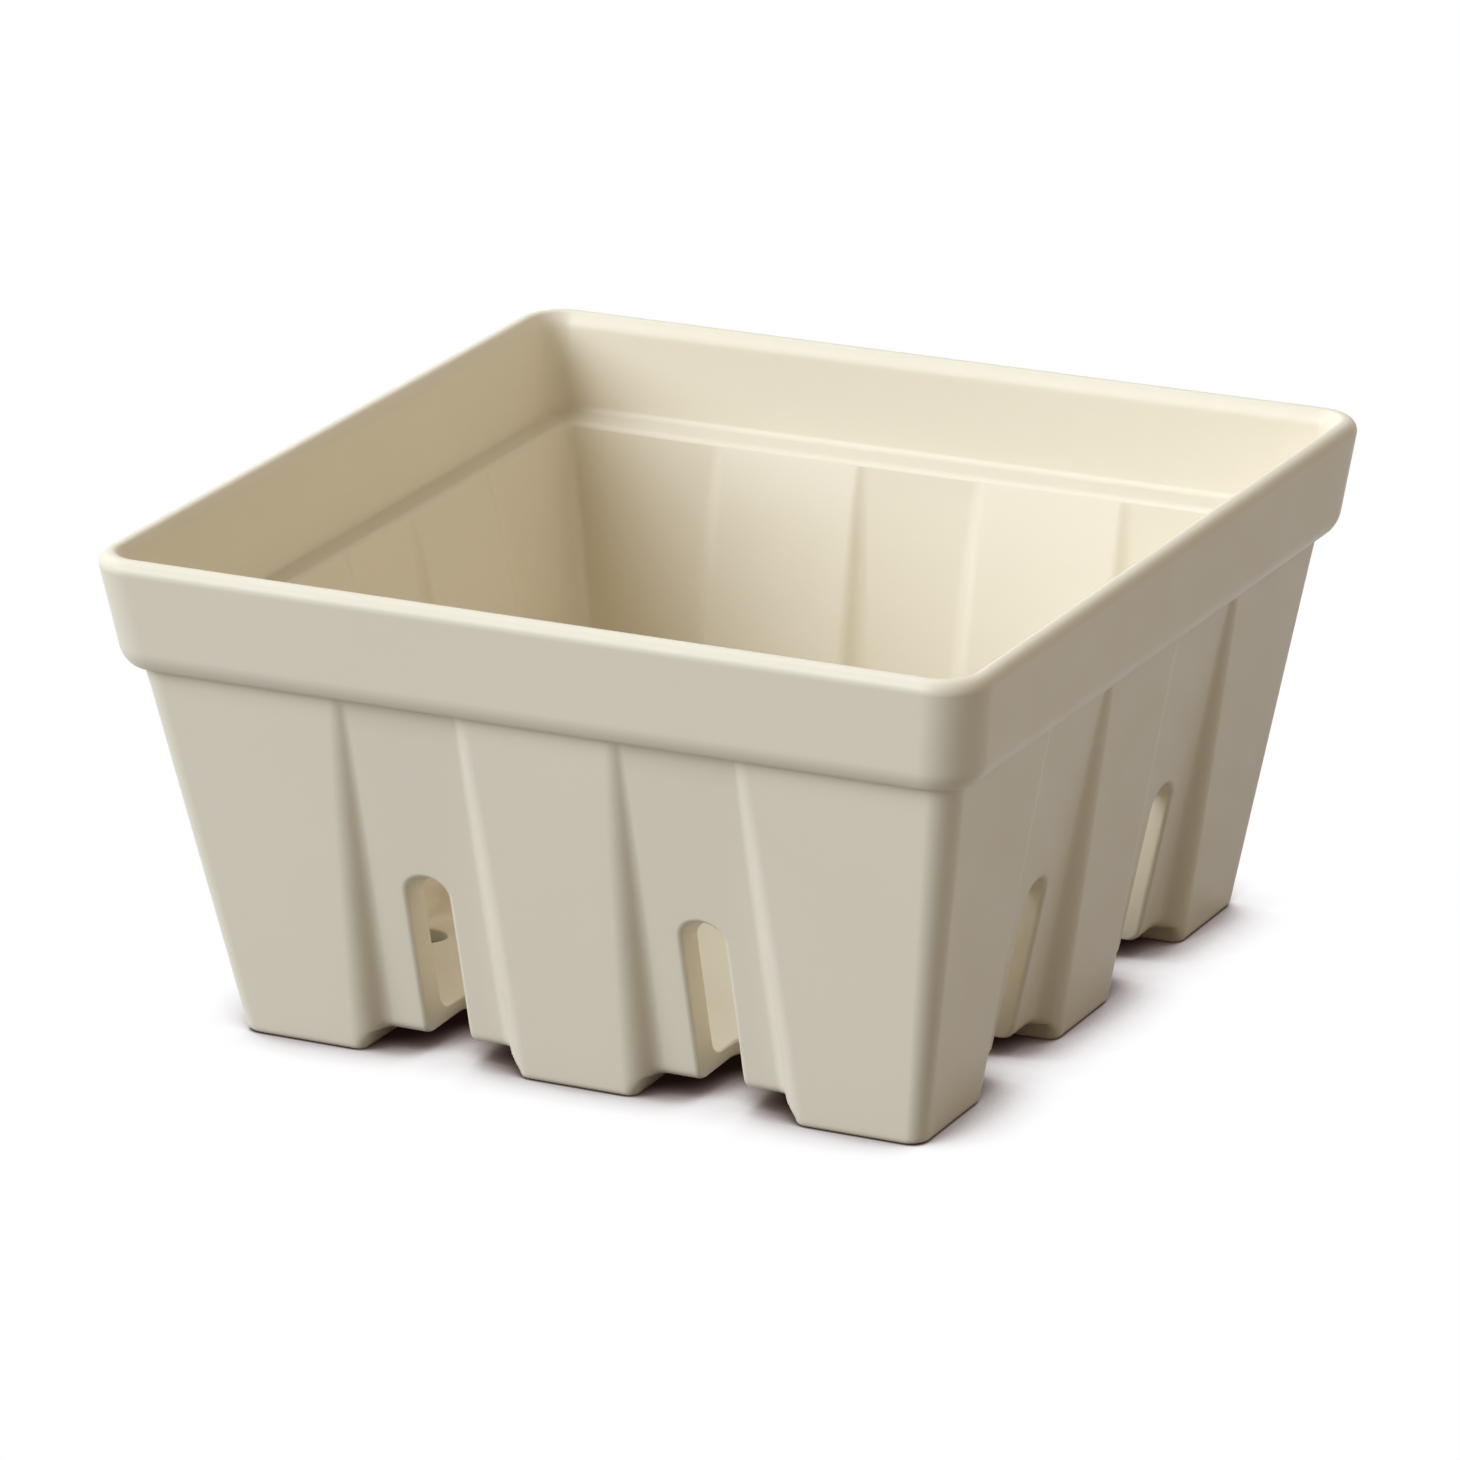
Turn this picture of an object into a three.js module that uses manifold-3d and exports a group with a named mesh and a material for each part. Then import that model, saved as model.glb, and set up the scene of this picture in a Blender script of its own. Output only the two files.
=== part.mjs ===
// A square berry colander: a tapered moulded basket with a banded rim, fluted walls,
// arched drain slots and low feet. Millimetres, +Z up, origin on the ground under the middle.
import * as THREE from "three";
import { mergeVertices } from "three/addons/utils/BufferGeometryUtils.js";
import Module from "manifold-3d";

const wasm = await Module();
wasm.setup();

// Driving dimensions: the whole basket
const RIM_WIDTH = 140; // across the lip, outside
const HEIGHT = 75; // from the ground to the top of the lip
const BASE_WIDTH = 109.4; // across the wall panels at ground level
const WALL_THICKNESS = 4.6; // below the ledge

// Driving dimensions: the rim
const BAND_HEIGHT = 17; // lip top to the band's underside
const BAND_THICKNESS = 3.5; // just above the ledge
const BAND_TAPER = 2; // how far the band's lower edge draws in from the lip
const BAND_EDGE_RADIUS = 2.2; // round on the band's lower outer edge
const STEP_WIDTH = 3.2; // from the band's lower edge in to the wall below
const LIP_THICKNESS = 3.6;
const LIP_RADIUS = 1.6; // round on both top edges of the lip
const LEDGE_THICKNESS = 2.5; // stacking ledge, above the band's underside
const LEDGE_RADIUS = 1.1; // hollow above the ledge and round on its nose
const RIM_CORNER_RADIUS = 7.5;
const WALL_CORNER_RADIUS = 4;
const INNER_CORNER_RADIUS = 1.2;

// Driving dimensions: flutes, slots, floor and feet
const FLUTE_WIDTH = 18.6; // flat bottom of a flute
const FLUTE_DEPTH_TOP = 0.3; // just under the band
const FLUTE_DEPTH_GROUND = 3.2; // at ground level
const FLUTE_INNER_SPREAD = 2.5; // how much wider each flank lies on the inside of the wall
const MIDDLE_PANEL_WIDTH = 19; // raised panel between two flutes, at ground level
const SLOT_WIDTH = 7;
const SLOT_TOP = 30; // crown of the arch above the ground
const SLOT_RUN = 14; // how far a slot runs into the floor from the flute's face
const FOOT_HEIGHT = 3;
const FOOT_DEPTH = 16; // middle feet, from the panel inwards
const FLOOR_THICKNESS = 2.8;

// Fineness of the round stretches
const CORNER_STEPS = 4; // along half of a corner
const ROUND_STEPS = 4; // along a quarter round of the rim's section
const ARCH_STEPS = 12; // along a slot's half round end
const SIDES = 4;

// Levels and half widths that follow
const bandLevel = HEIGHT - BAND_HEIGHT;
const ledgeLevel = bandLevel + LEDGE_THICKNESS;
const floorTop = FOOT_HEIGHT + FLOOR_THICKNESS;
const lipHalf = RIM_WIDTH / 2;
const bandHalf = lipHalf - BAND_TAPER;
const wallTopHalf = bandHalf - STEP_WIDTH;
const baseHalf = BASE_WIDTH / 2;
const fluteHalf = FLUTE_WIDTH / 2;
const slotHalf = SLOT_WIDTH / 2;
const fluteCentre = MIDDLE_PANEL_WIDTH / 2 + FLUTE_DEPTH_GROUND + fluteHalf;

// A length that changes evenly from the ground to the band's underside.
const between = (atGround, atBand, z) => atGround + ((atBand - atGround) * z) / bandLevel;
const panelHalf = (z) => between(baseHalf, wallTopHalf, z);
const fluteDepth = (z) => between(FLUTE_DEPTH_GROUND, FLUTE_DEPTH_TOP, z);

const moulded = () =>
  new THREE.MeshStandardMaterial({ color: "#dcd4c1", roughness: 0.42, metalness: 0 });

// Closed solid through rings of points that share one order; flat holds a ring's own outline in
// two dimensions, which gives the triangles of both end faces.
function loft(rings, flat) {
  const count = flat.length;
  const positions = rings.flat().flatMap((p) => [p.x, p.y, p.z]);
  const faces = [];
  for (let k = 0; k + 1 < rings.length; k++) {
    for (let i = 0; i < count; i++) {
      const j = (i + 1) % count;
      const [a, b, c, d] = [k * count + i, k * count + j, (k + 1) * count + j, (k + 1) * count + i];
      faces.push(a, b, c, a, c, d);
    }
  }
  const last = (rings.length - 1) * count;
  for (const [a, b, c] of THREE.ShapeUtils.triangulateShape(flat, [])) {
    faces.push(a, c, b, last + a, last + b, last + c);
  }
  const geometry = new THREE.BufferGeometry();
  geometry.setAttribute("position", new THREE.Float32BufferAttribute(positions, 3));
  geometry.setIndex(faces);
  return geometry;
}

// Cutting with closed solids
function solidOf(geometry) {
  const bare = geometry.clone();
  bare.deleteAttribute("normal");
  bare.deleteAttribute("uv");
  const merged = mergeVertices(bare);
  return new wasm.Manifold(
    new wasm.Mesh({
      numProp: 3,
      vertProperties: new Float32Array(merged.getAttribute("position").array),
      triVerts: new Uint32Array(merged.getIndex().array),
    }),
  );
}

function geometryOf(solid) {
  const mesh = solid.getMesh();
  const geometry = new THREE.BufferGeometry();
  geometry.setAttribute("position", new THREE.BufferAttribute(mesh.vertProperties, 3));
  geometry.setIndex(new THREE.BufferAttribute(mesh.triVerts, 1));
  geometry.computeVertexNormals();
  return geometry;
}

const cut = (geometry, cutters) =>
  geometryOf(cutters.reduce((solid, cutter) => solid.subtract(solidOf(cutter)), solidOf(geometry)));

// Plan of one side, the front one: half of the left corner, from its mitre to the straight
function cornerPoints(half, radius) {
  const points = [];
  for (let k = 0; k <= CORNER_STEPS; k++) {
    const angle = (Math.PI / 4) * (1 - k / CORNER_STEPS);
    const across = k === 0 ? Math.SQRT1_2 : Math.sin(angle);
    const out = k === 0 ? Math.SQRT1_2 : Math.cos(angle);
    const middle = half - radius;
    points.push(new THREE.Vector2(-middle - radius * across, -middle - radius * out));
  }
  return points;
}

const mirrored = (points) => points.map((p) => new THREE.Vector2(-p.x, p.y)).reverse();

// One flank of a flute, from the raised panel to the flute's flat bottom: a soft S, given as
// shares of the flute's depth, across and inwards.
const FLANK = [
  [1, 0],
  [0.7, 0.12],
  [0.3, 0.88],
  [0, 1],
];

function flutePoints(half, depth, spread) {
  const flank = FLANK.map(
    ([across, inwards]) =>
      new THREE.Vector2(fluteHalf + spread + across * depth, -half + inwards * depth),
  );
  const right = [...flank].reverse();
  return [...flank.map((p) => new THREE.Vector2(-p.x, p.y)), ...right];
}

// The front side in plan at one level, from the left mitre to the right one.
function sidePlan(half, radius, depth, spread) {
  const flute = flutePoints(half, depth, spread);
  const moved = (dx) => flute.map((p) => new THREE.Vector2(p.x + dx, p.y));
  const corner = cornerPoints(half, radius);
  return [...corner, ...moved(-fluteCentre), ...moved(fluteCentre), ...mirrored(corner)];
}

const outerPlan = (z) => sidePlan(panelHalf(z), WALL_CORNER_RADIUS, fluteDepth(z), 0);
const innerPlan = (z) =>
  sidePlan(panelHalf(z) - WALL_THICKNESS, INNER_CORNER_RADIUS, fluteDepth(z), FLUTE_INNER_SPREAD);

const raised = (p, z) => new THREE.Vector3(p.x, p.y, z);
const turned = (p, quarter) => p.clone().rotateAround(new THREE.Vector2(), (quarter * Math.PI) / 2);

// Section of the rim: half width, level and plan corner radius of each point, going round
// from the wall's inner edge over the underside, the band, the lip and the ledge
function quarterRound(centreHalf, centreLevel, radius, from, to) {
  const points = [];
  for (let k = 0; k <= ROUND_STEPS; k++) {
    const angle = THREE.MathUtils.degToRad(from + ((to - from) * k) / ROUND_STEPS);
    points.push([centreHalf + radius * Math.cos(angle), centreLevel + radius * Math.sin(angle)]);
  }
  return points;
}

function rimSection() {
  const wallInner = wallTopHalf - WALL_THICKNESS;
  const lipInner = lipHalf - LIP_THICKNESS;
  const hollowHalf = bandHalf - BAND_THICKNESS;
  return [
    [wallInner, bandLevel],
    ...quarterRound(bandHalf - BAND_EDGE_RADIUS, bandLevel + BAND_EDGE_RADIUS, BAND_EDGE_RADIUS, -90, 0),
    ...quarterRound(lipHalf - LIP_RADIUS, HEIGHT - LIP_RADIUS, LIP_RADIUS, 0, 90),
    ...quarterRound(lipInner + LIP_RADIUS, HEIGHT - LIP_RADIUS, LIP_RADIUS, 90, 180),
    ...quarterRound(hollowHalf - LEDGE_RADIUS, ledgeLevel + LEDGE_RADIUS, LEDGE_RADIUS, 0, -90),
    ...quarterRound(wallInner + LEDGE_RADIUS, ledgeLevel - LEDGE_RADIUS, LEDGE_RADIUS, 90, 180),
  ];
}

// The rim's plan corner gets tighter towards the inside, as the moulding's thickness asks.
function rimCornerRadius(half) {
  return Math.max(RIM_CORNER_RADIUS - (lipHalf - half), INNER_CORNER_RADIUS);
}

function rimSide() {
  const section = rimSection();
  const plans = section.map(([half]) => {
    const corner = cornerPoints(half, rimCornerRadius(half));
    return [...corner, ...mirrored(corner)];
  });
  const stations = plans[0].map((_, k) => section.map(([, level], i) => raised(plans[i][k], level)));
  const flat = section.map(([half, level]) => new THREE.Vector2(half, level));
  return loft(stations.reverse(), flat);
}

// One wall with its two flutes, standing on the floor plate, before its slots are cut.
function plainWall() {
  const levels = [floorTop, bandLevel];
  const [outerLow, outerHigh] = levels.map(outerPlan);
  const [innerLow, innerHigh] = levels.map(innerPlan);
  const stations = outerLow.map((_, k) => [
    raised(innerLow[k], floorTop),
    raised(outerLow[k], floorTop),
    raised(outerHigh[k], bandLevel),
    raised(innerHigh[k], bandLevel),
  ]);
  const flat = [
    new THREE.Vector2(0, 0),
    new THREE.Vector2(1, 0),
    new THREE.Vector2(1, 1),
    new THREE.Vector2(0, 1),
  ];
  return loft(stations.reverse(), flat);
}

// A slot's upright part: an arch, cut straight through the wall.
function archCutter(x) {
  const spring = SLOT_TOP - slotHalf;
  const arch = new THREE.Shape();
  arch.moveTo(slotHalf, 0);
  arch.lineTo(slotHalf, spring);
  arch.absarc(0, spring, slotHalf, 0, Math.PI, false);
  arch.lineTo(-slotHalf, 0);
  const through = { depth: panelHalf(SLOT_TOP), bevelEnabled: false, curveSegments: ARCH_STEPS };
  return new THREE.ExtrudeGeometry(arch, through).rotateX(Math.PI / 2).translate(x, 0, 0);
}

const frontWall = () => cut(plainWall(), [archCutter(-fluteCentre), archCutter(fluteCentre)]);

// A slot's lying part: it runs in from the floor plate's edge and ends in a half round.
function runCutter(x, quarter) {
  const end = panelHalf(floorTop) - fluteDepth(floorTop) - SLOT_RUN;
  const run = new THREE.Shape();
  run.moveTo(slotHalf, -panelHalf(HEIGHT));
  run.lineTo(slotHalf, -end - slotHalf);
  run.absarc(0, -end - slotHalf, slotHalf, 0, Math.PI, false);
  run.lineTo(-slotHalf, -panelHalf(HEIGHT));
  const through = { depth: floorTop + FOOT_HEIGHT, bevelEnabled: false, curveSegments: ARCH_STEPS };
  return new THREE.ExtrudeGeometry(run, through).translate(x, 0, 0).rotateZ((quarter * Math.PI) / 2);
}

function floorOutline(z) {
  const side = outerPlan(z).slice(0, -1);
  const outline = [];
  for (let quarter = 0; quarter < SIDES; quarter++) {
    outline.push(...side.map((p) => turned(p, quarter)));
  }
  return outline;
}

function floorPlate() {
  const [low, high] = [floorOutline(FOOT_HEIGHT), floorOutline(floorTop)];
  const rings = [low.map((p) => raised(p, FOOT_HEIGHT)), high.map((p) => raised(p, floorTop))];
  const cutters = [];
  for (let quarter = 0; quarter < SIDES; quarter++) {
    cutters.push(runCutter(-fluteCentre, quarter), runCutter(fluteCentre, quarter));
  }
  return cut(loft(rings, low), cutters);
}

// A foot: its plan at ground level and under the floor plate, joined by straight sides
function foot(plan) {
  const [low, high] = [plan(0), plan(FOOT_HEIGHT)];
  const rings = [low.map((p) => raised(p, 0)), high.map((p) => raised(p, FOOT_HEIGHT))];
  return loft(rings, low);
}

// The corner foot at the front left carries on the corner panels and is square inside.
function cornerFootPlan(z) {
  const edge = fluteCentre + fluteHalf + fluteDepth(z);
  const inner = fluteCentre + fluteHalf + FLUTE_DEPTH_GROUND;
  const front = cornerPoints(panelHalf(z), WALL_CORNER_RADIUS);
  const side = front.slice(1).map((p) => new THREE.Vector2(p.y, p.x));
  return [
    new THREE.Vector2(-panelHalf(z), -edge),
    ...side.reverse(),
    ...front,
    new THREE.Vector2(-edge, -panelHalf(z)),
    new THREE.Vector2(-inner, -inner),
  ];
}

function middleFootPlan(z) {
  const edge = fluteCentre - fluteHalf - fluteDepth(z);
  const [front, back] = [-panelHalf(z), FOOT_DEPTH - baseHalf];
  return [
    new THREE.Vector2(-edge, front),
    new THREE.Vector2(edge, front),
    new THREE.Vector2(edge, back),
    new THREE.Vector2(-edge, back),
  ];
}

// The basket
const basket = new THREE.Group();

function place(name, geometry, quarter = 0) {
  const mesh = new THREE.Mesh(geometry, moulded());
  mesh.name = name;
  mesh.rotation.z = (quarter * Math.PI) / 2;
  basket.add(mesh);
}

// The front piece of each kind is turned a quarter at a time to make the other three.
["front", "right", "back", "left"].forEach((side, quarter) => {
  place("rim_" + side, rimSide(), quarter);
  place("wall_" + side, frontWall(), quarter);
  place("foot_middle_" + side, foot(middleFootPlan), quarter);
});

["front_left", "front_right", "back_right", "back_left"].forEach((corner, quarter) => {
  place("foot_corner_" + corner, foot(cornerFootPlan), quarter);
});

place("floor", floorPlate());

export default basket;
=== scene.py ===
"""A square berry colander in cream moulded plastic: fluted walls, banded rim, drain slots and low feet."""
import math

import bmesh
import bpy
import numpy as np
from mathutils import Matrix, Vector


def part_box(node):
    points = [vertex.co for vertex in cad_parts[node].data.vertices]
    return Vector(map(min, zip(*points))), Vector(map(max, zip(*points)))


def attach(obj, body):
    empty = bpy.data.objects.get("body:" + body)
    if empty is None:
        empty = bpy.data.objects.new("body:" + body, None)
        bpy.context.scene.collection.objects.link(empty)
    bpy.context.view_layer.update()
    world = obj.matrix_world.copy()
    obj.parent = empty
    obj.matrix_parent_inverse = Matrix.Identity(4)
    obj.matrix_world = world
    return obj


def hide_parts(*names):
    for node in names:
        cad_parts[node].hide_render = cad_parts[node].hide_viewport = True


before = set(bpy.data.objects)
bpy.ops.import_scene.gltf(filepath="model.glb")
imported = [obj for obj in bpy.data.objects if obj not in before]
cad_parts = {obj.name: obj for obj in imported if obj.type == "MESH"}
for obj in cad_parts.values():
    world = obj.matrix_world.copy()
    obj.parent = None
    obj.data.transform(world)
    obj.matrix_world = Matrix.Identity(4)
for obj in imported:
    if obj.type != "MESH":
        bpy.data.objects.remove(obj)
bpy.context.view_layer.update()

# Sizes are in millimetres, and are turned to metres when a mesh or the camera is made
MM = 0.001


def box_mm(node):
    """Lowest and highest corner of a CAD node, in millimetres."""
    return [np.array(corner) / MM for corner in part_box(node)]


# Main sizes, from the frame
rim_low, rim_high = box_mm("rim_front")
wall_low, _ = box_mm("wall_front")
floor_low, floor_high = box_mm("floor")
middle_foot_low, middle_foot_high = box_mm("foot_middle_front")
corner_foot_low, _ = box_mm("foot_corner_front_right")

height = rim_high[2]
lip_half = -rim_low[1]
band_level = rim_low[2]
under_level = floor_low[2]
floor_level = floor_high[2]
wall_half_at_band = -wall_low[1]
wall_half_at_under = -middle_foot_low[1]
foot_back = middle_foot_high[1]
flute_centre = (middle_foot_high[0] + corner_foot_low[0]) / 2
taper = (wall_half_at_band - wall_half_at_under) / (band_level - under_level)

# Rim
LIP_THICKNESS = 3.65
LIP_CREST = 1.86  # top of the lip, in from its outside
LIP_ROUND = 1.8  # outside
LIP_EASE_WIDTH = 1.2  # the inner edge is eased off over this width and drop
LIP_EASE_DROP = 1.6
LIP_EASE_ROUNDS = [1.0, 3.5]
BAND_DRAW = 2.2  # how far the band's face draws in from the lip down to its underside
BAND_TURN = 2.0  # height above the underside where the face begins to turn under
BAND_ROUNDS = [5.0, 1.8]  # at the start and the end of that turn
UNDERSIDE = 1.8  # how far the underside stands out from the wall
UNDERSIDE_FALL = 0.2
STEP_FILLET = 1.0  # hollow between the underside and the wall
BAND_THICKNESS = 3.3
LEDGE_RISE = 2.2  # stacking ledge above the band's underside, at the rim
LEDGE_FALL = 0.8  # from the rim to the ledge's nose
LEDGE_HOLLOW = 1.2
LEDGE_NOSE = 1.1

# Plan radii of the corners
LIP_CORNER = 7.5
BAND_CORNER = 7.0
HOLLOW_CORNER = 3.4
LEDGE_CORNER = 1.4
WALL_CORNER_TOP = 4.2
WALL_CORNER_GROUND = 2.6
INNER_CORNER = 1.3

# Walls and flutes
WALL_THICKNESS = 4.6
FLUTE_FLAT = 18.6
FLUTE_DEPTH_TOP = 0.5
FLUTE_DEPTH_GROUND = 3.6
FLANK_SLOPE = math.radians(56)
# Spread of a flank past the flute's flat, round on its panel side and round on its flute side
FLANK_OUTSIDE = np.array([0.1, 3.8, 2.2])
FLANK_INSIDE = np.array([2.5, 4.0, 2.5])

# Slots
SLOT_HALF = 3.4
SLOT_HALF_INSIDE = 3.1
SLOT_TOP = 29.8
SLOT_FALL = 1.5  # how far a slot's crown falls on its way in through the wall
ARCH_RISE = 0.85  # height of a slot's arch as a share of its half width
SLOT_RUN = 14.0  # how far a slot runs into the floor from the flute's face
SLOT_ROUND_OUTSIDE = 0.8
SLOT_ROUND_INSIDE = 0.5
SLOT_FRAME = 5.6  # half width of the square patch round an arch

# Floor and feet
RECESS_ROUND = 2.2  # where a flute's face turns under the floor
RECESS_TURN = 2.5  # height above the floor's underside where that turn is begun
FLOOR_FILLET = 3.0  # inside, between wall and floor
FLOOR_TURN = 3.6  # height above the floor where that turn is begun
FOOT_ROUND = 1.2
FOOT_SIDE_SHARE = 0.56  # share of a foot's front round and draft that its sides have
FOOT_CORNER = 2.0  # between a foot's front and its side
FOOT_SOLE_CORNER = 0.9
FOOT_TOP_CORNER = 1.6  # the same, where the foot spreads into the flank above it
FOOT_BACK_CORNER = 3.0
FOOT_SPREADS = 0.7  # level from which a foot spreads towards the flank and the floor's underside

# Fineness of the mesh
PANEL_STEPS = 3
FLANK_STEPS = 12
CORNER_STEPS = 6
ROUND_STEPS = 6
TURN_STEPS = 8
FOOT_STEPS = 8
FRAME_STEPS = 4  # along half of one side of the square patch round an arch
SLOT_ROUND_STEPS = 4
RUN_STEPS = 3
FOOT_LEAVES = 4  # step of a flank where a foot's side leaves it
RECESS_STARTS = 5  # steps of a flank between which the turn under the floor grows to its full radius
RECESS_FULL = 9
WALL_LEVELS = [53, 48, 43, 38]  # above the slots
SLOT_LEVELS = [21, 15.5, 11]  # beside the slots
SHARP_ANGLE = math.radians(50)  # edges that turn by more than this are left sharp

band_half = lip_half - BAND_DRAW
ledge_level = band_level + LEDGE_RISE
outer_spring = SLOT_TOP - ARCH_RISE * SLOT_HALF
inner_spring = SLOT_TOP - SLOT_FALL - ARCH_RISE * SLOT_HALF_INSIDE


def panel_half(level):
    """Distance of a panel's outer face from the middle."""
    return wall_half_at_under + taper * (level - under_level)


def flute_depth(level):
    """How far a flute's face lies behind its panels."""
    return FLUTE_DEPTH_GROUND + (FLUTE_DEPTH_TOP - FLUTE_DEPTH_GROUND) * level / band_level


def wall_corner(level):
    """Plan radius of the wall's outer corner."""
    return WALL_CORNER_GROUND + (WALL_CORNER_TOP - WALL_CORNER_GROUND) * level / band_level


def outside_at(level):
    """Sizes of the plan of a wall's outer face: half width, corner, flute depth and flank."""
    return panel_half(level), wall_corner(level), flute_depth(level), FLANK_OUTSIDE


def inside_at(level):
    """The same for its inner face."""
    return panel_half(level) - WALL_THICKNESS, INNER_CORNER, flute_depth(level), FLANK_INSIDE


run_end = SLOT_RUN - panel_half(floor_level) + flute_depth(floor_level) - SLOT_HALF


# Plan of half a side, from the middle of the front to the right corner's mitre
def flank(depth, sizes):
    """Soft S from a panel into a flute: distance from the flute's middle, depth and slope of each point."""
    spread, panel_round, flute_round = sizes
    rounds = panel_round + flute_round
    slope = min(FLANK_SLOPE, math.acos(1 - depth / rounds))
    straight = (depth - rounds * (1 - math.cos(slope))) / math.sin(slope)
    width = rounds * math.sin(slope) + straight * math.cos(slope)
    length = rounds * slope + straight
    run = np.linspace(0, length, FLANK_STEPS + 1)
    turn = np.minimum(slope, np.minimum(run / panel_round, (length - run) / flute_round))
    parts = [run <= panel_round * slope, run >= length - flute_round * slope]
    beyond = run - panel_round * slope
    across = np.select(
        parts,
        [panel_round * np.sin(turn), width - flute_round * np.sin(turn)],
        panel_round * math.sin(slope) + beyond * math.cos(slope),
    )
    inwards = np.select(
        parts,
        [panel_round * (1 - np.cos(turn)), depth - flute_round * (1 - np.cos(turn))],
        panel_round * (1 - math.cos(slope)) + beyond * math.sin(slope),
    )
    halfway = np.interp(depth / 2, inwards, across)
    from_centre = FLUTE_FLAT / 2 + spread + depth / 2 + halfway - across
    return from_centre, inwards, turn


# Columns of points along the plan, by number
near_flank = PANEL_STEPS
slot_left = near_flank + FLANK_STEPS + 1
slot_right = slot_left + 2 * FRAME_STEPS
far_flank_end = slot_right + 1 + FLANK_STEPS
last_column = far_flank_end + PANEL_STEPS + CORNER_STEPS
frame_reach = SLOT_FRAME * np.tan(np.linspace(-math.pi / 4, math.pi / 4, 2 * FRAME_STEPS + 1))


def plan(half, corner, depth, sizes, share=1.0):
    """Points of the plan at one level, and the signed slope of each. Share flattens the flutes."""
    from_centre, inwards, turn = flank(depth, sizes)
    to_panel = np.linspace(flute_centre + from_centre[0], half - corner, PANEL_STEPS + 1)[1:]
    along = [
        np.linspace(0, flute_centre - from_centre[0], PANEL_STEPS, endpoint=False),
        flute_centre - from_centre,
        flute_centre + frame_reach,
        flute_centre + from_centre[::-1],
        to_panel,
    ]
    flat = np.zeros(PANEL_STEPS)
    deep = np.full(len(frame_reach), depth)
    inset = np.concatenate([flat, inwards, deep, inwards[::-1], flat]) * share
    angle = np.linspace(0, math.pi / 4, CORNER_STEPS + 1)[1:]
    around = half - corner + corner * np.array([np.sin(angle), np.cos(angle)])
    points = np.column_stack([
        np.concatenate([*along, around[0]]),
        np.concatenate([inset - half, -around[1]]),
    ])
    slope = np.concatenate([flat, turn, 0 * deep, -turn[::-1], flat, 0 * angle])
    return points, slope


def at_level(points, level):
    """Points of a plan, raised to a level, or each to its own."""
    return np.column_stack([points, np.broadcast_to(level, len(points))])


def inward_from(half, corner, depth, sizes):
    """Which way each point of the plan moves as the side comes in by one millimetre."""
    here, _ = plan(half, corner, depth, sizes)
    further, _ = plan(half - 1, corner, depth, sizes)
    return further - here


def square_from(half, corner, depth, sizes):
    """The same, but square to the flanks."""
    _, slope = plan(half, corner, depth, sizes)
    square = np.column_stack([-np.sin(slope), np.cos(slope)])
    return np.where(slope[:, None] != 0, square, inward_from(half, corner, depth, sizes))


# Sections
def rounded(before, corner, after, radius):
    """Points of the arc that rounds a section's corner."""
    before, corner, after = [np.array(p, float) for p in (before, corner, after)]
    into = (corner - before) / np.linalg.norm(corner - before)
    out = (after - corner) / np.linalg.norm(after - corner)
    turn = math.acos(into @ out)
    aside = (out - into * math.cos(turn)) / math.sin(turn)
    start = corner - into * radius * math.tan(turn / 2)
    angles = np.linspace(0, turn, ROUND_STEPS + 1)
    return [start + radius * (into * math.sin(a) + aside * (1 - math.cos(a))) for a in angles]


def turn_under(upper, lower, levels, inward, radius, steps):
    """Rows of points that run down a wall from the upper level and turn inwards along the lower one.

    upper and lower are the wall's plan at the two levels, and each point has its own radius.
    """
    top, bottom = levels
    drift = (upper - lower) / (top - bottom)
    lean = np.arctan(-(drift * inward).sum(1) / (inward * inward).sum(1))
    straight = (top - bottom - radius * (1 - np.sin(lean))) / np.cos(lean)
    length = straight + radius * (math.pi / 2 - lean)
    rows = []
    for k in range(1, steps + 1):
        run = length * k / steps
        down = np.minimum(run, straight) * np.cos(lean)
        angle = np.where(radius > 0, lean + np.maximum(run - straight, 0) / np.maximum(radius, 1e-6), lean)
        level = top - down - radius * (np.sin(angle) - np.sin(lean))
        reach = radius * (np.cos(lean) - np.cos(angle))
        points = upper - drift * down[:, None] + inward * reach[:, None]
        rows.append(at_level(points, level))
    return rows


def rim_rows(section, sizes_at):
    """Rows of a rim section.

    Each corner of the section is its half width, level, round, plan radius and flute share. sizes_at gives
    the size of the flanks by the share of the rows that is gone through.
    """
    rows = []
    for before, corner, after in zip(section, section[1:], section[2:]):
        for half, level in rounded(before[:2], corner[:2], after[:2], corner[2]):
            rows.append((half, level, corner[3] + half - corner[0], corner[4]))
    made = []
    for k, (half, level, radius, share) in enumerate(rows):
        points, _ = plan(half, radius, FLUTE_DEPTH_TOP, sizes_at(k / len(rows)), share)
        made.append(at_level(points, level))
    return made


def all_levels(spring, turn_level):
    """Levels of a wall's rows, from the rim down, with those of the square patch round an arch."""
    return [*WALL_LEVELS, *(spring + frame_reach[:FRAME_STEPS - 1:-1]), *SLOT_LEVELS, turn_level]


def wall_rows(levels, face_sizes):
    """Rows of a wall's face, one for each level."""
    return [at_level(plan(*face_sizes(level))[0], level) for level in levels]


def lip_top():
    """The row of points along the top of the lip."""
    points, _ = plan(lip_half - LIP_CREST, LIP_CORNER - LIP_CREST, FLUTE_DEPTH_TOP, FLANK_OUTSIDE, 0)
    return at_level(points, height)


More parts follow.
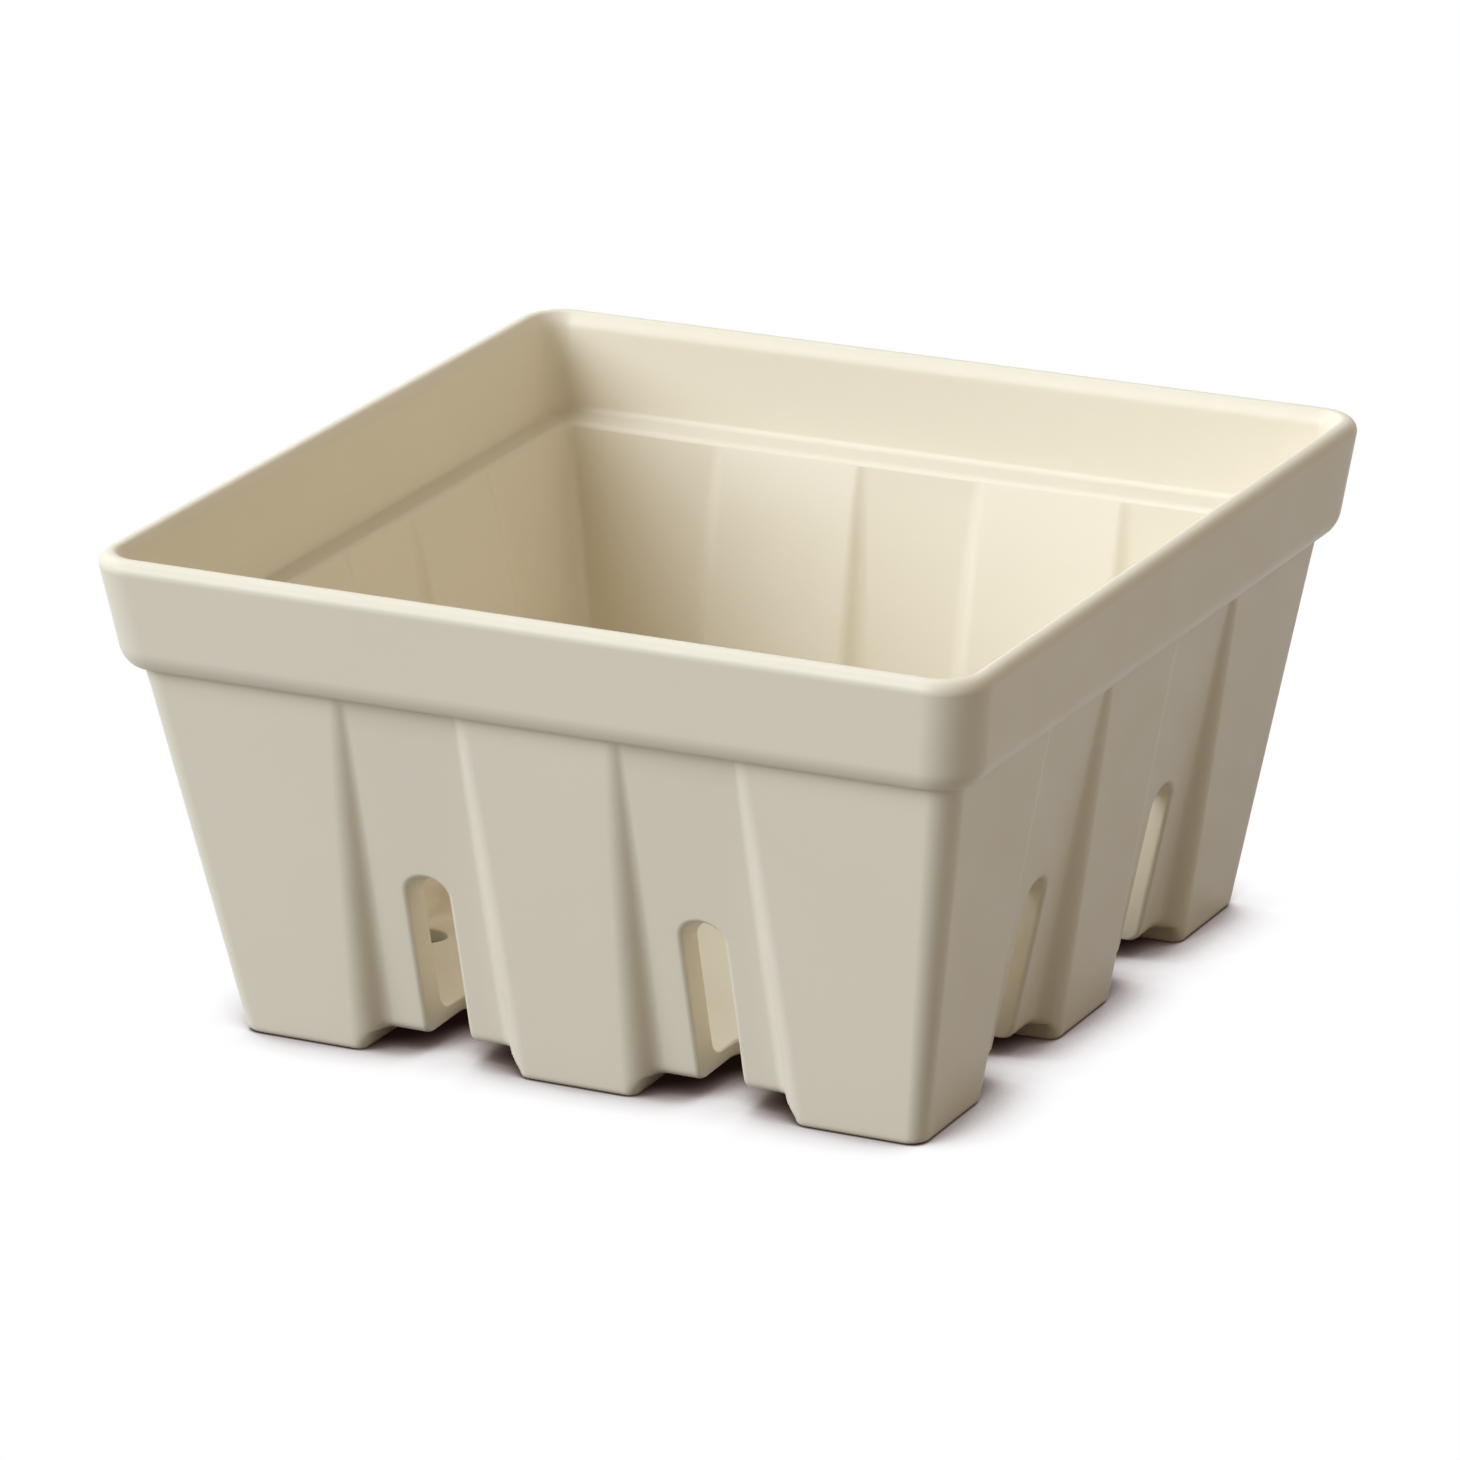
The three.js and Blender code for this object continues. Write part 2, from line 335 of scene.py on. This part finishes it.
def outer_sheet():
    """Rows of the outside, from the lip down to the floor's underside."""
    lean = BAND_DRAW / (height - LIP_ROUND - band_level)
    face_round, under_round = BAND_ROUNDS
    turn_start = band_level + BAND_TURN
    under_half = wall_half_at_band + UNDERSIDE
    step_level = band_level - UNDERSIDE_FALL
    below = band_level / 2
    section = [
        (lip_half - LIP_CREST, height),
        (lip_half + lean * LIP_ROUND, height, LIP_ROUND, LIP_CORNER + lean * LIP_ROUND, 0),
        (band_half + lean * BAND_TURN, turn_start, face_round, BAND_CORNER + lean * BAND_TURN, 0),
        (under_half, band_level, under_round, BAND_CORNER + under_half - band_half, 0),
        (panel_half(step_level), step_level, STEP_FILLET, WALL_CORNER_TOP, 1),
        (panel_half(below), below),
    ]
    turn_level = under_level + RECESS_TURN
    upper, lower = [plan(*outside_at(level))[0] for level in (turn_level, under_level)]
    inward = inward_from(*outside_at(under_level))
    step = np.minimum(np.arange(last_column + 1) - near_flank, far_flank_end - np.arange(last_column + 1))
    ease = np.clip((step - RECESS_STARTS) / (RECESS_FULL - RECESS_STARTS), 0, 1)
    radius = RECESS_ROUND * ease * ease * (3 - 2 * ease)
    return [
        *rim_rows(section, lambda share: FLANK_OUTSIDE),
        *wall_rows(all_levels(outer_spring, turn_level), outside_at),
        *turn_under(upper, lower, (turn_level, under_level), inward, radius, TURN_STEPS),
    ]


def inner_sheet():
    """Rows of the inside, from the lip down to the floor."""
    below = band_level / 2
    top_inset = LIP_THICKNESS - LIP_EASE_WIDTH
    top_round, low_round = LIP_EASE_ROUNDS
    nose_level = ledge_level - LEDGE_FALL
    section = [
        (lip_half - LIP_CREST, height),
        (lip_half - top_inset, height, top_round, LIP_CORNER - top_inset, 0),
        (lip_half - LIP_THICKNESS, height - LIP_EASE_DROP, low_round, LIP_CORNER - LIP_THICKNESS, 0),
        (band_half - BAND_THICKNESS, ledge_level, LEDGE_HOLLOW, HOLLOW_CORNER, 0),
        (panel_half(nose_level) - WALL_THICKNESS, nose_level, LEDGE_NOSE, LEDGE_CORNER, 0),
        (panel_half(below) - WALL_THICKNESS, below),
    ]
    turn_level = floor_level + FLOOR_TURN
    upper, lower = [plan(*inside_at(level))[0] for level in (turn_level, floor_level)]
    inward = square_from(*inside_at(floor_level))
    radius = np.full(last_column + 1, FLOOR_FILLET)
    return [
        *rim_rows(section, lambda share: FLANK_OUTSIDE + (FLANK_INSIDE - FLANK_OUTSIDE) * share),
        *wall_rows(all_levels(inner_spring, turn_level), inside_at),
        *turn_under(upper, lower, (turn_level, floor_level), inward, radius, TURN_STEPS),
    ]


# Rows counted back from a sheet's last one
spring_row = -(TURN_STEPS + len(SLOT_LEVELS) + 2)
frame_row = spring_row - FRAME_STEPS


class Skin:
    """Points and faces of the moulding's surface."""

    def __init__(self):
        self.points = []
        self.faces = []

    def add(self, points):
        """Adds points, and returns their numbers."""
        first = len(self.points)
        self.points.extend(map(tuple, points))
        return list(range(first, len(self.points)))

    def strip(self, one, other):
        """Faces between two lines of as many points."""
        for a, b, c, d in zip(one, one[1:], other[1:], other):
            self.faces.append((a, b, c, d))

    def ring(self, one, other):
        """Faces between two closed lines of as many points."""
        self.strip([*one, one[0]], [*other, other[0]])

    def flat(self, outline):
        """One flat face."""
        self.faces.append(tuple(outline))


def add_sheet(skin, rows, first_row):
    """Adds a sheet's rows, leaving out what lies in the slot, and returns the numbers of its points."""
    numbers = [first_row]
    for i, row in enumerate(rows):
        if i <= len(rows) + frame_row:
            numbers.append(skin.add(row))
            continue
        left = skin.add(row[:slot_left + 1])
        right = skin.add(row[slot_right:])
        numbers.append([*left, *[None] * (slot_right - slot_left - 1), *right])
    for one, other in zip(numbers, numbers[1:]):
        if other[slot_left + 1] is not None:
            skin.strip(one, other)
        else:
            skin.strip(one[:slot_left + 1], other[:slot_left + 1])
            skin.strip(one[slot_right:], other[slot_right:])
    return numbers


# Slots
def slot_path(rows, bottom):
    """Depth and level of the flute's face, from the arch's spring down and along the floor to its end."""
    line = [row[slot_left][1:] for row in rows[spring_row:]]
    start = line[-1][0]
    for k in range(1, RUN_STEPS + 1):
        line.append(np.array([start + (run_end - start) * k / RUN_STEPS, bottom]))
    return np.array(line)


arch_angles = np.linspace(0, math.pi, 4 * FRAME_STEPS + 1)[1:-1]


def slot_ring(path, through, face_at, spring, reach, sunk):
    """One ring round a slot, at a distance from its middle line, sunk into the moulding from a face.

    It goes down the left side, round the run's end, up the right side and over the arch.
    """
    sides = path + through * sunk
    left = [(flute_centre - reach, y, z) for y, z in sides]
    right = [(flute_centre + reach, y, z) for y, z in sides[::-1]]
    end_y, end_z = sides[-1]
    end = [
        (flute_centre - reach * math.cos(a), end_y + reach * math.sin(a), end_z) for a in arch_angles
    ]
    arch = []
    for a in arch_angles:
        level = spring + ARCH_RISE * reach * math.sin(a)
        across, down = through[0] * sunk
        arch.append((flute_centre + reach * math.cos(a), face_at(level) + across, level + down))
    return [*left, *end, *right, *arch]


def add_slot(skin, outer, inner, outer_rows, inner_rows):
    """Cuts one slot through both sheets, with rounded edges. Returns the innermost frames of both faces."""
    outer_path = slot_path(outer_rows, under_level)
    inner_path = slot_path(inner_rows, floor_level)
    through = inner_path - outer_path
    through /= np.linalg.norm(through, axis=1)[:, None]
    sides = [
        (outer, outer_path, through, 0, outer_spring, SLOT_HALF, SLOT_ROUND_OUTSIDE),
        (inner, inner_path, -through, WALL_THICKNESS, inner_spring, SLOT_HALF_INSIDE, SLOT_ROUND_INSIDE),
    ]
    rims, edges = [], []
    for numbers, path, direction, thickness, spring, half, radius in sides:
        def face_at(level):
            return flute_depth(level) + thickness - panel_half(level)

        rings = []
        for k in range(SLOT_ROUND_STEPS + 1):
            angle = math.pi / 2 * k / SLOT_ROUND_STEPS
            reach = half + radius * (1 - math.sin(angle))
            sunk = radius * (1 - math.cos(angle))
            rings.append(skin.add(slot_ring(path, direction, face_at, spring, reach, sunk)))
        for one, other in zip(rings, rings[1:]):
            skin.ring(one, other)
        frame_slot(skin, numbers, rings[0], len(path))
        rims.append(rings[0])
        edges.append(rings[-1])
    skin.ring(*edges)
    return rims


def frame_slot(skin, numbers, rim, count):
    """Joins a slot's outermost ring to the sheet round it."""
    beside = count - RUN_STEPS
    left = rim[:beside]
    right_start = count + len(arch_angles)
    right = rim[right_start + RUN_STEPS:right_start + count]
    skin.strip(left, [row[slot_left] for row in numbers[spring_row:]])
    skin.strip(right, [row[slot_right] for row in numbers[spring_row:]][::-1])
    arch = [right[-1], *rim[right_start + count:], left[0]]
    framing = numbers[frame_row:spring_row + 1]
    outside = [
        *[row[slot_right] for row in framing][::-1],
        *framing[0][slot_left + 1:slot_right][::-1],
        *[row[slot_left] for row in framing],
    ]
    skin.strip(arch, outside)


def floor_notch(rim, count):
    """The part of a slot's outermost ring that lies in the flat of the floor, from left to right."""
    return rim[count - RUN_STEPS - 1:count + len(arch_angles) + RUN_STEPS + 1]


# Feet
def foot_lines(points, slopes, end_angle, back_start):
    """Lines of a foot from its panel's end, down the flank, round its side and to its back.

    Returned are its own outline, the line where it spreads into the flank and the floor's underside, and the
    way that each point of the outline goes as it runs down to the sole.
    """
    full_inset = taper * under_level + FOOT_ROUND
    angles = np.linspace(0, math.pi / 2, FOOT_LEAVES + ROUND_STEPS + 1)[1:]
    around = np.column_stack([np.sin(angles), -np.cos(angles)])
    corner = points[0] + [0, FOOT_CORNER] + FOOT_CORNER * around
    shrink = FOOT_CORNER - FOOT_SOLE_CORNER
    centre_shift = np.array([shrink - full_inset * FOOT_SIDE_SHARE, full_inset - shrink])
    corner_inward = (centre_shift - shrink * around) / full_inset

    leaving = slopes[FOOT_LEAVES]
    turn = np.linspace(leaving, math.pi / 2, ROUND_STEPS + 1)[1:]
    top_corner = points[FOOT_LEAVES] + FOOT_TOP_CORNER * np.column_stack([
        np.sin(turn) - math.sin(leaving),
        math.cos(leaving) - np.cos(turn),
    ])

    side = corner[-1][0]
    back_angles = np.linspace(math.pi / 2, end_angle, ROUND_STEPS + 1)
    outward = np.column_stack([np.sin(back_angles), -np.cos(back_angles)])
    back = [side - FOOT_BACK_CORNER, back_start(side)] + FOOT_BACK_CORNER * outward
    top_back = back + outward * (top_corner[-1][0] - side)
    return (
        np.concatenate([corner, back]),
        np.concatenate([points[1:FOOT_LEAVES + 1], top_corner, top_back]),
        np.concatenate([corner_inward, -FOOT_SIDE_SHARE * outward]),
    )


def add_foot(skin, front, panel, base, top, inward):
    """One half foot: its front, its side and its flat sole. Returns the top line of its side.

    panel holds the panel's plan at the floor's underside and on the ground, and its inward ways.
    """
    upper, lower, panel_inward = panel
    rows = turn_under(
        np.concatenate([upper, base]),
        np.concatenate([lower, base + inward * taper * under_level]),
        (under_level, 0),
        np.concatenate([panel_inward, inward]),
        np.full(len(upper) + len(base), FOOT_ROUND),
        FOOT_STEPS,
    )
    spread = np.concatenate([0 * upper, top - base])
    past_flank = np.arange(len(spread)) - len(upper) - FOOT_LEAVES
    soft = np.clip(1 - past_flank / ROUND_STEPS, 0, 1)
    side_top = skin.add(at_level(top[FOOT_LEAVES:], under_level))
    last = [*front, *side_top]
    for row in rows:
        share = np.clip((row[:, 2] - FOOT_SPREADS) / (under_level - FOOT_SPREADS), 0, 1)
        share = share ** 2 * (1 + 2 * soft * (1 - share))
        row[:, :2] += spread * share[:, None]
        numbers = skin.add(row)
        skin.strip(last, numbers)
        last = numbers
    skin.flat(last)
    return side_top


def add_feet(skin, outer):
    """Half of the middle foot and half of the corner foot. Returns the top lines of their sides."""
    upper, slopes = plan(*outside_at(under_level))
    lower, _ = plan(*outside_at(0))
    inward = inward_from(*outside_at(under_level))

    front = outer[-1][:near_flank + FOOT_LEAVES + 1]
    panel = [line[:near_flank + 1] for line in (upper, lower, inward)]
    base, top, ways = foot_lines(
        upper[near_flank:], slopes[near_flank:], math.pi, lambda side: foot_back - FOOT_BACK_CORNER
    )
    middle_side = add_foot(skin, front, panel, *[
        np.concatenate([line, [[0, line[-1][1]]]]) for line in (base, top, ways)
    ])

    flip = np.array([-1, 1])
    front = outer[-1][:far_flank_end - FOOT_LEAVES - 1:-1]
    panel = [line[:far_flank_end - 1:-1] for line in (upper, lower, inward)]
    lines = foot_lines(
        upper[far_flank_end::-1] * flip,
        -slopes[far_flank_end::-1],
        3 * math.pi / 4,
        lambda side: side - FOOT_BACK_CORNER,
    )
    corner_side = add_foot(skin, front, panel, *[line * flip for line in lines])
    return middle_side, corner_side


def half_side():
    """Mesh of half the front side, from its middle to the corner's mitre, with its share of the floor."""
    skin = Skin()
    lip = skin.add(lip_top())
    outer_rows = outer_sheet()
    inner_rows = inner_sheet()
    outer = add_sheet(skin, outer_rows, lip)
    inner = add_sheet(skin, inner_rows, lip)
    outer_rim, inner_rim = add_slot(skin, outer, inner, outer_rows, inner_rows)
    middle_side, corner_side = add_feet(skin, outer)
    count = len(slot_path(outer_rows, under_level))
    under_centre, floor_centre = skin.add([(0, 0, under_level), (0, 0, floor_level)])
    skin.flat([
        under_centre,
        *middle_side[::-1],
        *outer[-1][near_flank + FOOT_LEAVES:slot_left + 1],
        *floor_notch(outer_rim, count),
        *outer[-1][slot_right:far_flank_end - FOOT_LEAVES + 1],
        *corner_side,
    ])
    skin.flat([
        floor_centre,
        *inner[-1][:slot_left + 1],
        *floor_notch(inner_rim, count),
        *inner[-1][slot_right:],
    ])
    mesh = bpy.data.meshes.new("half_side")
    mesh.from_pydata([Vector(p) * MM for p in skin.points], [], skin.faces)
    mesh.validate()
    return mesh


# Materials
CREAM_TONES = ["#e9e0cc", "#ede4d0"]
CLOUD_WIDTH = 35  # of the slow drift between those tones
DULL_PATCH_WIDTH = 6
ROUGHNESS = [0.37, 0.43]  # of the most polished and the dullest patches
PAPER_BOUNCE = "#898580"
SHADOW_REACH = 24  # how close the moulding has to be to darken the sheet under it
SHADOW_LEAN = math.radians(10)  # how far the sheet's open sky is leaned to the front, where the light is
# Painted shadow: tone of the sheet by the share of that sky which the moulding leaves open
SHADOW_TONES = [
    (0.1, "#150b09"),
    (0.2, "#392e2b"),
    (0.34, "#62554f"),
    (0.47, "#a49b9a"),
    (0.6, "#e9e6e6"),
    (0.72, "#ffffff"),
]


def linear(code):
    """Linear colour of an sRGB hex code."""
    values = [int(code[k:k + 2], 16) / 255 for k in (1, 3, 5)]
    return [v / 12.92 if v <= 0.04045 else ((v + 0.055) / 1.055) ** 2.4 for v in values] + [1.0]


def add_node(tree, kind, settings=None, inputs=None):
    """Adds a node with its settings, and gives each of its inputs a value or a link from an output."""
    node = tree.nodes.new(kind)
    for name, value in (settings or {}).items():
        setattr(node, name, value)
    for name, value in (inputs or {}).items():
        if isinstance(value, bpy.types.NodeSocket):
            tree.links.new(value, node.inputs[name])
        else:
            node.inputs[name].default_value = value
    return node


def new_material(name):
    """A material without nodes, and its tree."""
    material = bpy.data.materials.new(name)
    material.use_nodes = True
    material.node_tree.nodes.clear()
    return material, material.node_tree


def cream_melamine():
    """Melamine, compression moulded in a polished steel tool: an even warm cream with a soft satin gloss."""
    material, tree = new_material("cream_moulded_melamine")
    dark, light = [linear(code) for code in CREAM_TONES]
    place = add_node(tree, "ShaderNodeTexCoord").outputs["Object"]
    cloud = add_node(tree, "ShaderNodeTexNoise", {}, {
        "Vector": place, "Scale": 1 / (CLOUD_WIDTH * MM), "Detail": 3.0, "Roughness": 0.5,
    })
    tone = add_node(tree, "ShaderNodeMix", {"data_type": "RGBA"}, {
        0: cloud.outputs["Fac"], 6: dark, 7: light,
    })
    # Wear of the tool leaves patches a few millimetres wide that are a little duller than the rest
    patches = add_node(tree, "ShaderNodeTexNoise", {}, {
        "Vector": place, "Scale": 1 / (DULL_PATCH_WIDTH * MM), "Detail": 2.0, "Roughness": 0.5,
    })
    gloss = add_node(tree, "ShaderNodeMapRange", {}, {
        "Value": patches.outputs["Fac"],
        "From Min": 0.3,
        "From Max": 0.7,
        "To Min": ROUGHNESS[0],
        "To Max": ROUGHNESS[1],
    })
    shader = add_node(tree, "ShaderNodeBsdfPrincipled", {}, {
        "Base Color": tone.outputs[2],
        "Roughness": gloss.outputs["Result"],
        "IOR": 1.5,
        "Specular IOR Level": 0.35,
    })
    add_node(tree, "ShaderNodeOutputMaterial", {}, {"Surface": shader.outputs["BSDF"]})
    return material


def seen_or_mirrored(tree):
    """Output that is 1 where a surface is seen directly, in a reflection or through glass, and else 0."""
    ray = add_node(tree, "ShaderNodeLightPath")
    indirect = add_node(tree, "ShaderNodeMath", {"operation": "MAXIMUM"}, {
        0: ray.outputs["Is Glossy Ray"], 1: ray.outputs["Is Transmission Ray"],
    })
    seen = add_node(tree, "ShaderNodeMath", {"operation": "MAXIMUM"}, {
        0: ray.outputs["Is Camera Ray"], 1: indirect.outputs["Value"],
    })
    return seen.outputs["Value"]


def white_sheet():
    """Matt paper sheet, white where it is seen, with a painted contact shadow close to the moulding.

    Where it is seen, it is white, with painted shade from an occlusion ramp darkening it close to the
    moulding. It throws back less light than it shows.
    """
    material, tree = new_material("matt_white_paper_sheet")
    sky = add_node(tree, "ShaderNodeCombineXYZ", {}, {
        "Y": -math.sin(SHADOW_LEAN), "Z": math.cos(SHADOW_LEAN),
    })
    openness = add_node(tree, "ShaderNodeAmbientOcclusion", {"samples": 32}, {
        "Distance": SHADOW_REACH * MM, "Normal": sky.outputs["Vector"],
    })
    shadow = add_node(tree, "ShaderNodeValToRGB", {}, {"Fac": openness.outputs["AO"]})
    ramp = shadow.color_ramp
    for place, code in SHADOW_TONES:
        stop = ramp.elements.new(place)
        stop.color = linear(code)
    ramp.elements.remove(ramp.elements[0])
    ramp.elements.remove(ramp.elements[-1])
    # Painted contact shadow: the seen sheet is an emission darkened by the ramp, not a lit surface
    seen = add_node(tree, "ShaderNodeEmission", {}, {"Color": shadow.outputs["Color"], "Strength": 1.0})
    bounce = add_node(tree, "ShaderNodeBsdfDiffuse", {}, {"Color": linear(PAPER_BOUNCE)})
    either = add_node(tree, "ShaderNodeMixShader", {}, {
        0: seen_or_mirrored(tree), 1: bounce.outputs["BSDF"], 2: seen.outputs["Emission"],
    })
    add_node(tree, "ShaderNodeOutputMaterial", {}, {"Surface": either.outputs["Shader"]})
    return material


# The moulding: half a side is mirrored and turned four times
SIDES = 4
WELD_DISTANCE = 0.01


def repeat_tree(material):
    """Nodes that mirror half a side, set the sides round in a ring, and weld them together."""
    tree = bpy.data.node_groups.new("four_sides", "GeometryNodeTree")
    face = tree.interface
    face.new_socket("Half side", in_out="INPUT", socket_type="NodeSocketGeometry")
    face.new_socket("Sides", in_out="INPUT", socket_type="NodeSocketInt")
    face.new_socket("Weld distance", in_out="INPUT", socket_type="NodeSocketFloat")
    face.new_socket("Moulding", in_out="OUTPUT", socket_type="NodeSocketGeometry")
    given = add_node(tree, "NodeGroupInput")
    half = given.outputs["Half side"]
    mirrored = add_node(tree, "GeometryNodeTransform", {}, {"Geometry": half, "Scale": (-1, 1, 1)})
    outward = add_node(tree, "GeometryNodeFlipFaces", {}, {"Mesh": mirrored.outputs["Geometry"]})
    side = add_node(tree, "GeometryNodeJoinGeometry")
    tree.links.new(half, side.inputs["Geometry"])
    tree.links.new(outward.outputs["Mesh"], side.inputs["Geometry"])
    turn = add_node(tree, "ShaderNodeMath", {"operation": "DIVIDE"}, {
        0: math.tau, 1: given.outputs["Sides"],
    })
    index = add_node(tree, "GeometryNodeInputIndex")
    angle = add_node(tree, "ShaderNodeMath", {"operation": "MULTIPLY"}, {
        0: index.outputs["Index"], 1: turn.outputs["Value"],
    })
    about_z = add_node(tree, "ShaderNodeCombineXYZ", {}, {"Z": angle.outputs["Value"]})
    places = add_node(tree, "GeometryNodePoints", {}, {"Count": given.outputs["Sides"]})
    copies = add_node(tree, "GeometryNodeInstanceOnPoints", {}, {
        "Points": places.outputs["Geometry"],
        "Instance": side.outputs["Geometry"],
        "Rotation": about_z.outputs["Vector"],
    })
    real = add_node(tree, "GeometryNodeRealizeInstances", {}, {"Geometry": copies.outputs["Instances"]})
    welded = add_node(tree, "GeometryNodeMergeByDistance", {}, {
        "Geometry": real.outputs["Geometry"], "Distance": given.outputs["Weld distance"],
    })
    smooth = add_node(tree, "GeometryNodeSetShadeSmooth", {}, {"Geometry": welded.outputs["Geometry"]})
    finished = add_node(tree, "GeometryNodeSetMaterial", {}, {
        "Geometry": smooth.outputs["Geometry"], "Material": material,
    })
    add_node(tree, "NodeGroupOutput", {}, {"Moulding": finished.outputs["Geometry"]})
    return tree


def plain_mesh(piece):
    """Replaces a piece's mesh by what its modifiers make of it, and removes them."""
    bpy.context.view_layer.update()
    made = bpy.data.meshes.new_from_object(piece.evaluated_get(bpy.context.evaluated_depsgraph_get()))
    piece.modifiers.clear()
    piece.data = made


def make_moulding():
    """The whole moulding as one closed mesh, with its faces turned outwards."""
    piece = bpy.data.objects.new("moulding", half_side())
    bpy.context.scene.collection.objects.link(piece)
    sides = piece.modifiers.new("four_sides", "NODES")
    sides.node_group = repeat_tree(cream_melamine())
    identifiers = {item.name: item.identifier for item in sides.node_group.interface.items_tree}
    sides[identifiers["Sides"]] = SIDES
    sides[identifiers["Weld distance"]] = WELD_DISTANCE * MM
    plain_mesh(piece)
    shell = bmesh.new()
    shell.from_mesh(piece.data)
    bmesh.ops.recalc_face_normals(shell, faces=shell.faces)
    shell.to_mesh(piece.data)
    shell.free()
    # Flat faces keep their flat shading right up to the rounds and the sharp edges beside them
    piece.data.set_sharp_from_angle(angle=SHARP_ANGLE)
    shading = piece.modifiers.new("flat_shading", "WEIGHTED_NORMAL")
    shading.keep_sharp = True
    plain_mesh(piece)
    return piece


moulding = make_moulding()
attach(moulding, "root")
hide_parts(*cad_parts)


# Camera, at the photograph's viewing angle
CAMERA_AZIMUTH = math.radians(26.968)
CAMERA_ELEVATION = math.radians(19.195)
CAMERA_ROLL = math.radians(-0.821)
CAMERA_DISTANCE = 1300.667
CAMERA_LENS = 218.75
CAMERA_SENSOR = 36
TARGET_ASIDE = -2.029
TARGET_LEVEL = 36.936


def direction(azimuth, elevation):
    """From the object towards an azimuth, counted from the front to the right, and an elevation."""
    return Vector((
        math.sin(azimuth) * math.cos(elevation),
        -math.cos(azimuth) * math.cos(elevation),
        math.sin(elevation),
    ))


def make_camera():
    """The camera, with the photograph's slight roll."""
    back = direction(CAMERA_AZIMUTH, CAMERA_ELEVATION)
    right = Vector((math.cos(CAMERA_AZIMUTH), math.sin(CAMERA_AZIMUTH), 0))
    up = back.cross(right)
    rolled_right = right * math.cos(CAMERA_ROLL) + up * math.sin(CAMERA_ROLL)
    rolled_up = up * math.cos(CAMERA_ROLL) - right * math.sin(CAMERA_ROLL)
    data = bpy.data.cameras.new("camera")
    data.sensor_width = CAMERA_SENSOR
    data.lens = CAMERA_LENS
    camera = bpy.data.objects.new("camera", data)
    turn = Matrix((rolled_right, rolled_up, back)).transposed()
    place = (right * TARGET_ASIDE + Vector((0, 0, TARGET_LEVEL)) + back * CAMERA_DISTANCE) * MM
    camera.matrix_world = Matrix.Translation(place) @ turn.to_4x4()
    bpy.context.scene.collection.objects.link(camera)
    bpy.context.scene.camera = camera


make_camera()


# Floor and light
SHEET_REACH = 3000


def make_floor():
    """The sheet of paper that the object stands on."""
    mesh = bpy.data.meshes.new("floor_sheet")
    reach = SHEET_REACH * MM
    corners = [(-reach, -reach, 0), (reach, -reach, 0), (reach, reach, 0), (-reach, reach, 0)]
    mesh.from_pydata(corners, [], [(0, 1, 2, 3)])
    mesh.materials.append(white_sheet())
    sheet = bpy.data.objects.new("floor_sheet", mesh)
    bpy.context.scene.collection.objects.link(sheet)


def add_sun(name, azimuth, elevation, strength, spread, tint):
    """A far lamp, seen from the object at an azimuth and elevation, as wide as spread, all in degrees."""
    data = bpy.data.lights.new(name, "SUN")
    data.energy = strength
    data.color = linear(tint)[:3]
    data.angle = math.radians(spread)
    lamp = bpy.data.objects.new(name, data)
    towards = direction(math.radians(azimuth), math.radians(elevation))
    lamp.rotation_mode = "QUATERNION"
    lamp.rotation_quaternion = towards.to_track_quat("Z", "Y")
    bpy.context.scene.collection.objects.link(lamp)


def make_world(strength, tint):
    """White surroundings that light the object with a tint and strength of their own."""
    world = bpy.data.worlds.new("studio")
    world.use_nodes = True
    tree = world.node_tree
    tree.nodes.clear()
    light = add_node(tree, "ShaderNodeBackground", {}, {"Color": linear(tint), "Strength": strength})
    white = add_node(tree, "ShaderNodeBackground", {}, {"Color": linear("#ffffff"), "Strength": 1.0})
    either = add_node(tree, "ShaderNodeMixShader", {}, {
        0: seen_or_mirrored(tree), 1: light.outputs["Background"], 2: white.outputs["Background"],
    })
    add_node(tree, "ShaderNodeOutputWorld", {}, {"Surface": either.outputs["Shader"]})
    bpy.context.scene.world = world


make_floor()
add_sun("key", -38, 30, 2.75, 40, "#e9f4ff")
add_sun("side", -110, 50, 1.4, 50, "#e6f3ff")
add_sun("fill", 110, 25, 0.38, 50, "#f8f2e6")
make_world(0.25, "#ffe4c0")
bpy.context.scene.view_settings.view_transform = "Standard"
